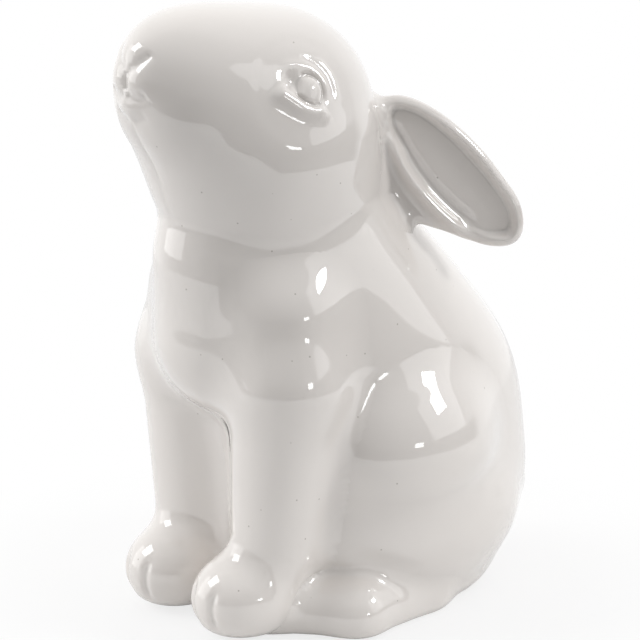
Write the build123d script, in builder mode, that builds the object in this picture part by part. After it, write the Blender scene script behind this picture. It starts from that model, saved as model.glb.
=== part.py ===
"""Seated ceramic rabbit, slip-cast as separate pieces that are joined with liquid clay and glazed.

The rabbit sits on the XY plane with the origin under its middle. It faces -Y, its own left side is
at +X, and +Z is up. Sizes are millimetres and angles degrees.
"""

import os
from math import cos, radians, sin

from build123d import *

# Castings and joins
wall = 3.5
floor_thickness = 4.0
slip_film = 0.15
floor_vent_radius = 5.0
leg_vent_radius = 2.0

# Torso, as level ellipses: rise above the one below, fore-and-aft centre, half width, half depth
foot_centre = 6.1
foot_half_width = 22.0
foot_half_depth = 26.0

rump_rise = 15.0
rump_centre = 9.0
rump_half_width = 25.0
rump_half_depth = 31.8

hip_rise = 15.0
hip_centre = 8.5
hip_half_width = 25.5
hip_half_depth = 32.4

waist_rise = 15.0
waist_centre = 5.0
waist_half_width = 25.0
waist_half_depth = 32.4

chest_rise = 15.0
chest_centre = -3.5
chest_half_width = 23.5
chest_half_depth = 30.5

shoulder_rise = 12.0
shoulder_centre = -9.5
shoulder_half_width = 20.5
shoulder_half_depth = 26.0

neck_rise = 10.0
neck_centre = -13.5
neck_half_width = 16.8
neck_half_depth = 23.8
neck_seam_drop = 4.0

nape_rise = 10.0
nape_centre = -14.5
nape_half_width = 16.6
nape_half_depth = 22.8

crown_rise = 9.0
crown_centre = -13.5
crown_half_width = 16.0
crown_half_depth = 17.9

# Breast: a lobe at each side of the chest
breast_inset = 13.3
breast_sink = 14.0
breast_drop = 2.0
breast_half_width = 11.0
breast_half_depth = 13.0
breast_half_height = 17.5

# Head: a round skull set on the neck, drawn out forward and up to a smaller round muzzle
skull_radius = 19.5
skull_forward = 0.5
skull_rise = 13.0
muzzle_radius = 11.5
muzzle_reach = 19.9
muzzle_lift = 10.6

# Eye: a ball sunk in the skull, at an angle forward of straight left and one above level
eye_radius = 5.0
eye_sink = 3.6
eye_bearing = -14.0
eye_elevation = 26.0

# Ear: a leaf-shaped lens from a root in the skull, laid back and drooping, hollowed by a scoop
ear_root_bearing = 57.0
ear_root_elevation = 14.0
ear_root_sink = 1.8
ear_length = 40.0
ear_bearing = 54.0
ear_droop = 47.5
ear_facing_bearing = -37.0
ear_facing_elevation = 8.5
ear_half_width = 9.6
ear_half_thickness = 5.0
ear_rim = 1.5
ear_wall = 3.0

# Foreleg: a tapered round limb from a shoulder beside the waist to a wrist, on a rounded paw
leg_shoulder_inset = 10.6
leg_shoulder_sink = 7.3
leg_shoulder_rise = 5.0
leg_shoulder_radius = 11.3
leg_wrist_outset = 1.3
leg_wrist_sink = 1.4
leg_wrist_rise = 1.0
leg_wrist_radius = 8.0
paw_gap = 3.0
paw_forward = 5.6
paw_half_width = 9.0
paw_half_length = 10.5
paw_half_height = 8.5
sole_cut = 1.0

# Haunch: the dome of the folded thigh, set in the hip
haunch_sink = 5.5
haunch_forward = 6.1
haunch_drop = 0.5
haunch_half_width = 12.0
haunch_half_length = 17.3
haunch_half_height = 18.6

# Hind foot: a round-ended foot from toe to heel, along the rump
toe_inset = 4.2
toe_forward = 19.0
toe_radius = 8.4
heel_inset = 7.0
heel_back = 3.5
heel_radius = 9.5

# Tail: a knob sunk in the back of the rump
tail_sink = 3.0
tail_drop = 0.5
tail_half_width = 8.0
tail_half_depth = 7.6
tail_half_height = 8.0

rump_height = rump_rise
hip_height = rump_height + hip_rise
waist_height = hip_height + waist_rise
chest_height = waist_height + chest_rise
shoulder_height = chest_height + shoulder_rise
neck_height = shoulder_height + neck_rise
nape_height = neck_height + nape_rise
crown_height = nape_height + crown_rise
TORSO_RINGS = (
    (0.0, foot_centre, foot_half_width, foot_half_depth),
    (rump_height, rump_centre, rump_half_width, rump_half_depth),
    (hip_height, hip_centre, hip_half_width, hip_half_depth),
    (waist_height, waist_centre, waist_half_width, waist_half_depth),
    (chest_height, chest_centre, chest_half_width, chest_half_depth),
    (shoulder_height, shoulder_centre, shoulder_half_width, shoulder_half_depth),
    (neck_height, neck_centre, neck_half_width, neck_half_depth),
    (nape_height, nape_centre, nape_half_width, nape_half_depth),
    (crown_height, crown_centre, crown_half_width, crown_half_depth),
)


def bearing(turn, elevation):
    """Unit vector turned from straight left towards the back, then raised above level."""
    level = cos(radians(elevation))
    return Vector(level * cos(radians(turn)), level * sin(radians(turn)), sin(radians(elevation)))


skull = Vector(0, neck_centre - skull_forward, neck_height + skull_rise)
muzzle = skull + Vector(0, -muzzle_reach, muzzle_lift)
eye = skull + bearing(eye_bearing, eye_elevation) * (skull_radius - eye_sink)
ear_root = skull + bearing(ear_root_bearing, ear_root_elevation) * (skull_radius - ear_root_sink)
ear_along = bearing(ear_bearing, -ear_droop) * ear_length
breast = Vector(
    chest_half_width - breast_inset,
    chest_centre - chest_half_depth + breast_sink,
    chest_height - breast_drop,
)
leg_shoulder = Vector(
    waist_half_width - leg_shoulder_inset,
    waist_centre - waist_half_depth + leg_shoulder_sink,
    waist_height + leg_shoulder_rise,
)
leg_wrist = Vector(
    paw_gap / 2 + paw_half_width + leg_wrist_outset,
    rump_centre - rump_half_depth + leg_wrist_sink,
    rump_height + leg_wrist_rise,
)
paw = Vector(paw_gap / 2 + paw_half_width, leg_wrist.Y - paw_forward, paw_half_height - sole_cut)
haunch = Vector(hip_half_width - haunch_sink, hip_centre - haunch_forward, hip_height - haunch_drop)
toe = Vector(rump_half_width - toe_inset, rump_centre - toe_forward, toe_radius - sole_cut)
heel = Vector(rump_half_width - heel_inset, rump_centre + heel_back, heel_radius - sole_cut)
tail_knob = Vector(0, rump_centre + rump_half_depth - tail_sink, rump_height - tail_drop)


def torso_form(grow=0.0):
    """Smooth pile of level ellipses, each drawn out by the same amount, or in where it is negative."""
    with BuildPart() as form:
        for height, centre, half_width, half_depth in TORSO_RINGS:
            with BuildSketch(Plane.XY.offset(height)):
                with Locations((0, centre)):
                    Ellipse(half_width + grow, half_depth + grow)
        loft()
    return form.part


def round_limb(start, end, start_radius, end_radius):
    """Two balls with the cone that wraps them both, turned about the line between their centres."""
    along = end - start
    across = along.cross(Vector(1, 0, 0)).normalized()
    reach = along.length + start_radius + end_radius
    with BuildPart() as form:
        with BuildSketch(Plane(start, x_dir=along, z_dir=along.cross(across))):
            Circle(start_radius)
            with Locations((along.length, 0)):
                Circle(end_radius)
            make_hull()
            Rectangle(2 * reach, 2 * reach, align=(Align.CENTER, Align.MAX), mode=Mode.SUBTRACT)
        revolve(axis=Axis(start, along))
    return form.part


def ellipsoid(plane, half_sizes):
    """Ball stretched to three half sizes along the axes of the plane that it is centred on."""
    with BuildPart() as form:
        Sphere(1)
        scale(by=half_sizes)
    return plane.location * form.part


def head_form(grow=0.0):
    """Skull drawn out to the muzzle, grown or shrunk evenly."""
    return round_limb(skull, muzzle, skull_radius + grow, muzzle_radius + grow)


def breast_form(grow=0.0):
    """Lobe on the left of the chest, grown evenly."""
    half_sizes = (breast_half_width + grow, breast_half_depth + grow, breast_half_height + grow)
    return ellipsoid(Plane(breast), half_sizes)


def foreleg_form(grow=0.0):
    """Tapered leg with its paw, grown evenly."""
    paw_sizes = (paw_half_width + grow, paw_half_length + grow, paw_half_height + grow)
    with BuildPart() as form:
        add(round_limb(leg_shoulder, leg_wrist, leg_shoulder_radius + grow, leg_wrist_radius + grow))
        add(ellipsoid(Plane(paw), paw_sizes))
    return form.part


def leg_hollow():
    """Room inside the upper leg, one wall in from its surface."""
    return round_limb(leg_shoulder, leg_wrist, leg_shoulder_radius - wall, leg_wrist_radius - wall)


def haunch_form(grow=0.0):
    """Domed thigh, grown evenly."""
    half_sizes = (haunch_half_width + grow, haunch_half_length + grow, haunch_half_height + grow)
    return ellipsoid(Plane(haunch), half_sizes)


ground = Plane.XY
seam = ground.offset(neck_height - neck_seam_drop)
torso_seat = torso_form(slip_film)
breast_seat = breast_form(slip_film)
head_seat = head_form(slip_film)
haunch_seat = haunch_form(slip_film)
foreleg_seat = foreleg_form(slip_film)

# Hollow inside the torso, from the top of the floor up into the neck
with BuildPart() as torso_hollow:
    add(torso_form(-wall))
    split(bisect_by=ground.offset(floor_thickness), keep=Keep.TOP)

# Torso: breast lobes, an open neck, a vent through the floor and one pierced into each hollow foreleg
leg_middle = (leg_shoulder + leg_wrist) / 2
with BuildPart() as torso:
    add(torso_form())
    add(breast_form())
    mirror(breast_form(), about=Plane.YZ)
    add(torso_hollow.part, mode=Mode.SUBTRACT)
    split(bisect_by=seam, keep=Keep.BOTTOM)
    with Locations((0, foot_centre, 0)):
        Cylinder(floor_vent_radius, 3 * floor_thickness, mode=Mode.SUBTRACT)
    with Locations(leg_middle, Vector(-leg_middle.X, leg_middle.Y, leg_middle.Z)):
        Cylinder(leg_vent_radius, 2 * leg_shoulder_radius, rotation=(90, 0, 0), mode=Mode.SUBTRACT)
torso.part.label = "torso"

# Head: hollow, joined to the torso at a level seam round the neck, with the eyes in relief
with BuildPart() as head:
    add(torso_form())
    add(head_form())
    with Locations(eye, Vector(-eye.X, eye.Y, eye.Z)):
        Sphere(eye_radius)
    add(torso_hollow.part, mode=Mode.SUBTRACT)
    add(head_form(-wall), mode=Mode.SUBTRACT)
    split(bisect_by=seam.offset(slip_film), keep=Keep.TOP)
head.part.label = "head"

# Left ear: the scoop leaves a rim round the lens and a wall behind it
ear_facing = bearing(ear_facing_bearing, ear_facing_elevation)
ear_out = ear_along.cross(ear_facing.cross(ear_along))
ear_plane = Plane(ear_root + ear_along / 2, x_dir=ear_along, z_dir=ear_out)
leaf_sizes = (ear_length / 2, ear_half_width, ear_half_thickness)
scoop_sizes = (ear_length / 2 - ear_rim, ear_half_width - ear_rim, 2 * ear_half_thickness - ear_wall)
with BuildPart() as left_ear:
    add(ellipsoid(ear_plane, leaf_sizes))
    add(ellipsoid(ear_plane.offset(ear_half_thickness), scoop_sizes), mode=Mode.SUBTRACT)
    add(head_seat, mode=Mode.SUBTRACT)
    add(torso_seat, mode=Mode.SUBTRACT)
left_ear.part.label = "left_ear"

# Left haunch: a solid dome seated on the side of the torso
with BuildPart() as left_haunch:
    add(haunch_form())
    add(torso_seat, mode=Mode.SUBTRACT)
left_haunch.part.label = "left_haunch"

# Left foreleg: hollow to the wrist, open where it sits on the torso, with a flat sole
with BuildPart() as left_foreleg:
    add(foreleg_form())
    add(leg_hollow(), mode=Mode.SUBTRACT)
    add(torso_seat, mode=Mode.SUBTRACT)
    add(breast_seat, mode=Mode.SUBTRACT)
    add(haunch_seat, mode=Mode.SUBTRACT)
    split(bisect_by=ground, keep=Keep.TOP)
left_foreleg.part.label = "left_foreleg"

# Left hind foot: solid, tucked under the haunch and behind the paw, with a flat sole
with BuildPart() as left_hind_foot:
    add(round_limb(toe, heel, toe_radius, heel_radius))
    add(torso_seat, mode=Mode.SUBTRACT)
    add(haunch_seat, mode=Mode.SUBTRACT)
    add(foreleg_seat, mode=Mode.SUBTRACT)
    split(bisect_by=ground, keep=Keep.TOP)
left_hind_foot.part.label = "left_hind_foot"

# Tail: a solid knob seated on the back of the torso
with BuildPart() as tail:
    add(ellipsoid(Plane(tail_knob), (tail_half_width, tail_half_depth, tail_half_height)))
    add(torso_seat, mode=Mode.SUBTRACT)
tail.part.label = "tail"

pieces = [torso, head, tail]
for left_piece in (left_ear, left_foreleg, left_haunch, left_hind_foot):
    with BuildPart() as right_piece:
        mirror(left_piece.part, about=Plane.YZ)
    right_piece.part.label = left_piece.part.label.replace("left", "right")
    pieces += [left_piece, right_piece]

os.makedirs("parts", exist_ok=True)
for piece in pieces:
    export_step(piece.part, f"parts/{piece.part.label}.step")
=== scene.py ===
"""Dressed scene of the seated ceramic rabbit, with its glaze, a pale floor, studio light and a camera.

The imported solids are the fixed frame. Each casting is drawn over its own solid as one closed surface that
flows into its neighbours with a fillet, as slip and glaze fill a join, and the face, ears and paws get their
modelled detail. Shapes are worked out in millimetres in the frame of the solids: the rabbit faces -Y, its own
left side is at +X, and +Z is up.
"""

import logging
import math
from abc import ABC, abstractmethod
from dataclasses import dataclass, field
from enum import Enum
from functools import cached_property
from typing import Callable

import bpy
import numpy as np
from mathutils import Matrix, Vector


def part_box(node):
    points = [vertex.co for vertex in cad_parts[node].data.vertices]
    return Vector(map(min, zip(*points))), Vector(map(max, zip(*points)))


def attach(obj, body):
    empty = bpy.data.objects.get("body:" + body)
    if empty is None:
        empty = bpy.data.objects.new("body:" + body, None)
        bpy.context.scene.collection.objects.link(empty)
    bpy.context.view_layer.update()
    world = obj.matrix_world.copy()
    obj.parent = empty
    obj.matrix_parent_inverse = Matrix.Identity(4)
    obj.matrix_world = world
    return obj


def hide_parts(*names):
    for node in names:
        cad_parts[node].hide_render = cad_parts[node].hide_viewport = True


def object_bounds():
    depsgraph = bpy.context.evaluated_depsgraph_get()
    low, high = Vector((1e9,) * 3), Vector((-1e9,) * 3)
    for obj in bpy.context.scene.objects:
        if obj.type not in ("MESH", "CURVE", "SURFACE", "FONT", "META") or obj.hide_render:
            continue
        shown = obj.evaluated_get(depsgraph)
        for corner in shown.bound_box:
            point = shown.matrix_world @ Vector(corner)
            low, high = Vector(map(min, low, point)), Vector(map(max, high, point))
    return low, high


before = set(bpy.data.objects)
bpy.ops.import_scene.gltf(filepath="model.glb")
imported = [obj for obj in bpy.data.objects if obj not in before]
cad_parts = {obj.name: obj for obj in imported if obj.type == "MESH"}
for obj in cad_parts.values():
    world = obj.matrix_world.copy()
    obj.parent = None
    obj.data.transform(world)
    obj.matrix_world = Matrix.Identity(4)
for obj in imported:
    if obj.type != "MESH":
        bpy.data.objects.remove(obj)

CAD_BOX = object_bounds()
LOG = logging.getLogger("ceramic_rabbit")
MM = 0.001  # metres in a millimetre
TINY = 1e-9  # keeps a division off nought

Array = np.ndarray
Colour = tuple[float, float, float]
Point2 = tuple[float, float]
Point3 = tuple[float, float, float]
Field = Callable[[Array], Array]

GROUND = np.zeros(3)
UP = np.array([0.0, 0.0, 1.0])
DOWN = -UP
LEFT = np.array([1.0, 0.0, 0.0])
WHITE = (1.0, 1.0, 1.0, 1.0)


class Side(Enum):
    """The side of the rabbit that a paired casting belongs to, with the sign of its X."""

    LEFT = 1.0
    RIGHT = -1.0

    def node(self, piece: str) -> str:
        """The name of this side's solid."""
        return f"{self.name.lower()}_{piece}"


# Distances and curves


def unit(vector: Array) -> Array:
    """A vector, or each row of an array of vectors, at length one."""
    vector = np.asarray(vector, float)
    return vector / np.linalg.norm(vector, axis=-1, keepdims=True)


def bearing(turn: float, elevation: float) -> Array:
    """Unit vector turned from straight left towards the back, then raised above level.

    Args:
        turn: Degrees from the rabbit's left towards its back.
        elevation: Degrees above level.

    Returns:
        The vector.
    """
    turn, elevation = math.radians(turn), math.radians(elevation)
    level = math.cos(elevation)
    return np.array([level * math.cos(turn), level * math.sin(turn), math.sin(elevation)])


def square_to(axis: Array, vector: Array) -> Array:
    """The part of a vector that is square to a unit axis, at length one."""
    return unit(vector - vector @ axis * axis)


def folded(points: Array) -> Array:
    """The points, with those on the rabbit's right folded over to its left."""
    return np.abs(points * (1, 0, 0)) + points * (0, 1, 1)


def merge(first: Array, second: Array, reach: float) -> Array:
    """Smooth lesser of two distances.

    Where the two differ by less than the reach, a square of what is left of the reach is taken off the
    lesser one, which fills the corner between two forms with a fillet.

    Args:
        first: Distances to one form.
        second: Distances to the other.
        reach: How far from the corner the fillet begins.

    Returns:
        Distances to both forms together.
    """
    left = np.maximum(reach - np.abs(first - second), 0.0) / reach
    return np.minimum(first, second) - left * left * reach / 4


def trim(first: Array, second: Array, reach: float) -> Array:
    """Smooth greater of two distances: what both forms share, with its edge rounded over the reach."""
    return -merge(-first, -second, reach)


def through(knots: Array, values: Array, where: Array) -> Array:
    """Smooth curve through given values.

    Between two knots the curve is the cubic that has both values, and at each inner knot the slope of the
    parabola through it and its two neighbours.

    Args:
        knots: Rising places, one for each value.
        values: Values at the knots, along the first axis.
        where: Places at which the curve is read, held between the first and last knot.

    Returns:
        The curve's value at each place.
    """
    gap = np.diff(knots)
    rise = np.diff(values) / gap
    slope = np.empty_like(values)
    slope[1:-1] = (rise[:-1] * gap[1:] + rise[1:] * gap[:-1]) / (gap[1:] + gap[:-1])
    slope[0], slope[-1] = rise[0], rise[-1]
    where = np.clip(where, knots[0], knots[-1])
    low = np.clip(np.searchsorted(knots, where) - 1, 0, len(knots) - 2)
    t = (where - knots[low]) / gap[low]
    start = values[low] + (3 * t**2 - 2 * t**3) * (values[low + 1] - values[low])
    return start + gap[low] * t * (1 - t) * ((1 - t) * slope[low] - t * slope[low + 1])


def fade(value: Array, start: float, end: float) -> Array:
    """Smooth step from nought at the start to one at the end, or back where the start is the greater."""
    t = np.clip((value - start) / (end - start), 0.0, 1.0)
    return t * t * (3 - 2 * t)


def turns(count: int) -> Array:
    """Even shares of a full turn."""
    return np.arange(count) / count


def crowded(count: int, spots: tuple[Point3, ...] = (), samples: int = 4001) -> Array:
    """Rising shares from nought to one that stand closer together near some spots.

    The density is one plus a bell for each spot, and the shares divide its sum into equal parts.

    Args:
        count: How many shares to give.
        spots: For each spot its place, half width and extra density.
        samples: How many places the density is summed over.

    Returns:
        The shares, with nought first and one last.
    """
    fine = np.linspace(0.0, 1.0, samples)
    density = np.ones_like(fine)
    for place, width, gain in spots:
        density += gain * np.exp(-(((fine - place) / width) ** 2))
    total = np.concatenate([[0.0], np.cumsum((density[1:] + density[:-1]) / 2)])
    return np.interp(np.linspace(0.0, total[-1], count), total, fine)


@dataclass(frozen=True)
class Box:
    """The box of a solid at rest in the frame, in millimetres."""

    low: Array
    high: Array

    @classmethod
    def of(cls, node: str) -> "Box":
        """The box of one node of the frame."""
        low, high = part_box(node)
        return cls(np.array(low) / MM, np.array(high) / MM)

    @property
    def size(self) -> Array:
        """Width, depth and height."""
        return self.high - self.low

    def at(self, *shares: float) -> Array:
        """The point at these shares of the width, depth and height from the lowest corner."""
        return self.low + self.size * shares


# Forms, each of which gives its distance from points: negative inside, nought on its surface


class Form(ABC):
    """A solid form."""

    @abstractmethod
    def distance(self, points: Array) -> Array:
        """Distances of points, in millimetres, from the form's surface."""


@dataclass(frozen=True)
class Ball(Form):
    """A ball stretched to three half sizes along three axes, the rows of its axes."""

    centre: Array
    half_sizes: Array
    axes: Array = field(default_factory=lambda: np.eye(3))

    def distance(self, points: Array) -> Array:
        """How far a point is past the unit ball, divided by how fast that changes with distance.

        Args:
            points: Places, in millimetres.

        Returns:
            Distance of each place from the surface.
        """
        place = (points - self.centre) @ self.axes.T / self.half_sizes
        reach = np.linalg.norm(place, axis=-1)
        change = np.linalg.norm(place / self.half_sizes, axis=-1)
        return reach * (reach - 1.0) / np.maximum(change, TINY)


@dataclass(frozen=True)
class Limb(Form):
    """Two balls with the cone that wraps them both."""

    start: Array
    end: Array
    start_radius: float
    end_radius: float

    def distance(self, points: Array) -> Array:
        """Distance to the ball whose centre slides along the axis to where its surface faces the point.

        Args:
            points: Places, in millimetres.

        Returns:
            Distance of each place from the surface.
        """
        along = self.end - self.start
        length = np.linalg.norm(along)
        taper = (self.start_radius - self.end_radius) / length
        offset = points - self.start
        level = offset @ along / length
        across = np.sqrt(np.maximum((offset * offset).sum(-1) - level * level, 0.0))
        share = np.clip((level - across * taper / math.sqrt(1 - taper * taper)) / length, 0.0, 1.0)
        gap = points - self.start - share[..., None] * along
        return np.linalg.norm(gap, axis=-1) - self.start_radius + share * taper * length


@dataclass(frozen=True)
class Pile(Form):
    """A smooth pile of level ellipses, from one height to the next."""

    heights: Array
    centres: Array
    half_widths: Array
    half_depths: Array

    def distance(self, points: Array) -> Array:
        """How far a point is past its own level's ellipse, over its change, or past the top or bottom.

        Args:
            points: Places, in millimetres.

        Returns:
            Distance of each place from the surface.
        """
        height = points[..., 2]
        width = through(self.heights, self.half_widths, height)
        depth = through(self.heights, self.half_depths, height)
        x = points[..., 0] / width
        y = (points[..., 1] - through(self.heights, self.centres, height)) / depth
        reach = np.hypot(x, y)
        level = reach * (reach - 1.0) / np.maximum(np.hypot(x / width, y / depth), TINY)
        past = np.maximum(height - self.heights[-1], self.heights[0] - height)
        return np.where(past > 0, np.hypot(np.maximum(level, 0.0), past), np.maximum(level, past))


@dataclass(frozen=True)
class Joined(Form):
    """Two forms joined with a fillet."""

    first: Form
    second: Form
    fillet: float

    def distance(self, points: Array) -> Array:
        """Smooth lesser of the two distances."""
        return merge(self.first.distance(points), self.second.distance(points), self.fillet)


@dataclass(frozen=True)
class Cut(Form):
    """A form cut flat by a plane, with the edge of the cut rounded."""

    form: Form
    point: Array
    outward: Array
    rounding: float

    def distance(self, points: Array) -> Array:
        """Smooth greater of the form's distance and the height above the plane."""
        return trim(self.form.distance(points), (points - self.point) @ self.outward, self.rounding)


@dataclass(frozen=True)
class Hollowed(Form):
    """A form with another one cut out of it, and a rounded edge round the cut."""

    body: Form
    tool: Form
    rounding: float

    def distance(self, points: Array) -> Array:
        """Smooth greater of the distances to the body and into the tool."""
        return trim(self.body.distance(points), -self.tool.distance(points), self.rounding)


@dataclass(frozen=True)
class Pair(Form):
    """A form on the rabbit's left with its mirror image on the right."""

    form: Form

    def distance(self, points: Array) -> Array:
        """The left form's distance from the points folded over to the left."""
        return self.form.distance(folded(points))


@dataclass(frozen=True)
class Leaf(Form):
    """Dished leaf in a plane of its own.

    Places in the plane go along the leaf to its tip and across it to its upper rim, and heights out of its
    bowl. Spans give where a fade starts and where it is complete.
    """

    middle: Array
    axes: Array
    blade: Form
    lobe: Form
    lobe_fillet: float = 3.0
    bowl_level: float = -1.2
    rim_height: float = 1.7
    rim_widths: Point2 = (1.3, 3.2)
    rim_span: Point2 = (-5.0, 0.0)
    crest: tuple[Point2, ...] = ((-9.3, -3.3), (0.3, -5.3), (7.4, -5.5), (12.3, -5.0))
    crest_height: float = 1.5
    crest_width: float = 1.15
    crest_middle: float = 1.0
    crest_span: Point2 = (15.0, 9.0)
    valley_depth: float = 0.5
    valley_offset: float = 2.0
    lobe_drop: float = 0.5
    lobe_span: Point2 = (-0.3, -2.5)
    back_depth: float = 4.8
    back_middle: Point2 = (2.0, -2.5)
    back_reach: Point2 = (19.0, 10.5)
    back_thinning: Point2 = (0.4, 0.55)
    edge: float = 2.2
    caution: float = 0.8

    def outline(self, along: Array, across: Array) -> Array:
        """Distance from the leaf's outline in its own plane: a long blade joined to the lobe below it."""
        flat = np.stack([along, across, np.zeros_like(along)], -1)
        return merge(self.blade.distance(flat), self.lobe.distance(flat), self.lobe_fillet)

    def front(self, along: Array, across: Array) -> Array:
        """Height of the open side.

        It is the bowl's level, raised to a thick rim along the upper edge and round the tip. A crest runs
        down the leaf below its middle, with a valley above it, and the lobe below it drops away.

        Args:
            along: Places towards the tip.
            across: Places towards the upper rim.

        Returns:
            Heights out of the leaf's plane.
        """
        inside = -self.outline(along, across)
        rim = fade(inside, self.rim_widths[1], self.rim_widths[0]) * fade(across, *self.rim_span)
        knots, values = np.array(self.crest).T
        offset = (across - through(knots, values, along)) / self.crest_width
        crest = self.crest_height * np.exp(-(offset**2))
        valley = self.valley_depth * np.exp(-((offset - self.valley_offset) ** 2))
        run = fade(np.abs(along - self.crest_middle), *self.crest_span)
        drop = self.lobe_drop * fade(offset, *self.lobe_span)
        return self.bowl_level + self.rim_height * rim + run * (crest - valley) - drop

    def back(self, along: Array, across: Array) -> Array:
        """Height of the closed side, a shallow bulge that thins by the square of the way to the outline.

        Args:
            along: Places towards the tip.
            across: Places towards the upper rim.

        Returns:
            Heights out of the leaf's plane.
        """
        lengthwise = self.back_thinning[0] * ((along - self.back_middle[0]) / self.back_reach[0]) ** 2
        crosswise = self.back_thinning[1] * ((across - self.back_middle[1]) / self.back_reach[1]) ** 2
        return -self.back_depth * (1.0 - crosswise - lengthwise)

    def distance(self, points: Array) -> Array:
        """Smooth greatest of the distances under the open side, over the closed side and within the outline.

        Args:
            points: Places, in millimetres.

        Returns:
            Distance of each place from the surface, made less by the caution so that no step goes past it.
        """
        along, across, out = np.moveaxis((points - self.middle) @ self.axes.T, -1, 0)
        sheet = trim(out - self.front(along, across), self.back(along, across) - out, self.edge / 2)
        return trim(sheet, self.outline(along, across), self.edge) * self.caution


# Relief, as a modelling tool leaves it: lines and swellings drawn on a flat patch of the surface


@dataclass(frozen=True)
class Stroke:
    """A line drawn with a tool: a ridge, or a groove where its height is negative."""

    course: tuple[Point2, ...]
    width: float
    height: float
    ends: float = 0.2
    samples: int = 40
    reach_in_widths: float = 3.0

    @cached_property
    def curve(self) -> Array:
        """Smooth curve through the course, at even shares of its length.

        Returns:
            The curve's points, one in each row.
        """
        knots = np.array(self.course, float)
        lengths = np.concatenate([[0.0], np.cumsum(np.linalg.norm(np.diff(knots, axis=0), axis=1))])
        shares = np.linspace(0.0, lengths[-1], self.samples)
        return np.stack([through(lengths, axis, shares) for axis in knots.T], -1)

    def lift(self, across: Array, rise: Array) -> Array:
        """Height times a bell of the distance to the curve, faded out towards the two ends.

        Args:
            across: Places across the patch.
            rise: Places up the patch.

        Returns:
            How far the stroke lifts each place.
        """
        start, step = self.curve[:-1], np.diff(self.curve, axis=0)
        place = np.stack([across, rise], -1)
        reach = self.reach_in_widths * self.width
        near = ((place > self.curve.min(0) - reach) & (place < self.curve.max(0) + reach)).all(-1)
        offset = place[near][:, None, :] - start
        share = np.clip((offset * step).sum(-1) / (step * step).sum(-1), 0.0, 1.0)
        square = ((offset - share[..., None] * step) ** 2).sum(-1)
        nearest = square.argmin(-1)
        rows = np.arange(len(nearest))
        travel = (nearest + share[rows, nearest]) / len(step)
        taper = fade(travel, 0.0, self.ends) * fade(travel, 1.0, 1.0 - self.ends)
        lift = np.zeros(len(place))
        lift[near] = self.height * taper * np.exp(-square[rows, nearest] / self.width**2)
        return lift


@dataclass(frozen=True)
class Swell:
    """A soft round swelling, or a hollow where its height is negative."""

    centre: Point2
    reach: Point2
    height: float

    def share(self, across: Array, rise: Array) -> Array:
        """Square of the distance from the centre, in reaches along the two axes."""
        x, y = across - self.centre[0], rise - self.centre[1]
        return (x / self.reach[0]) ** 2 + (y / self.reach[1]) ** 2

    def lift(self, across: Array, rise: Array) -> Array:
        """Height times a bell of the distance from the centre."""
        return self.height * np.exp(-self.share(across, rise))


@dataclass(frozen=True)
class Dome(Swell):
    """A round boss with a plain edge, such as an eyeball."""

    edge: float = 0.25

    def lift(self, across: Array, rise: Array) -> Array:
        """A bowl turned over: the height less its square fall, and nought past the edge."""
        fall = self.height * (1.0 - self.share(across, rise))
        return trim(fall, np.zeros_like(fall), self.edge) - self.edge / 4


@dataclass(frozen=True)
class Patch:
    """A flat patch facing out of the surface, with the marks made on it.

    A mark that stands on one side of the rabbit is made on the other side too. The marks fade out past a
    share of the patch's reach in its plane and of its depth out of it.
    """

    origin: Array
    across: Array
    rise: Array
    marks: tuple[Stroke | Swell, ...]
    reach: float
    depth: float
    full_share: float = 0.8

    def lift(self, points: Array) -> Array:
        """Sum of the marks at points near the patch, faded out towards its border.

        Args:
            points: Places on the surface, in millimetres.

        Returns:
            How far the marks lift each place.
        """
        offset = folded(points) - self.origin
        x, y, out = offset @ self.across, offset @ self.rise, offset @ np.cross(self.across, self.rise)
        radius, height = np.hypot(x, y), np.abs(out)
        near = (radius < self.reach) & (height < self.depth)
        border = fade(radius[near], self.reach, self.full_share * self.reach)
        border *= fade(height[near], self.depth, self.full_share * self.depth)
        lift = np.zeros(points.shape[:-1])
        lift[near] = border * sum(mark.lift(x[near], y[near]) for mark in self.marks)
        return lift


# Surfaces


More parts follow.
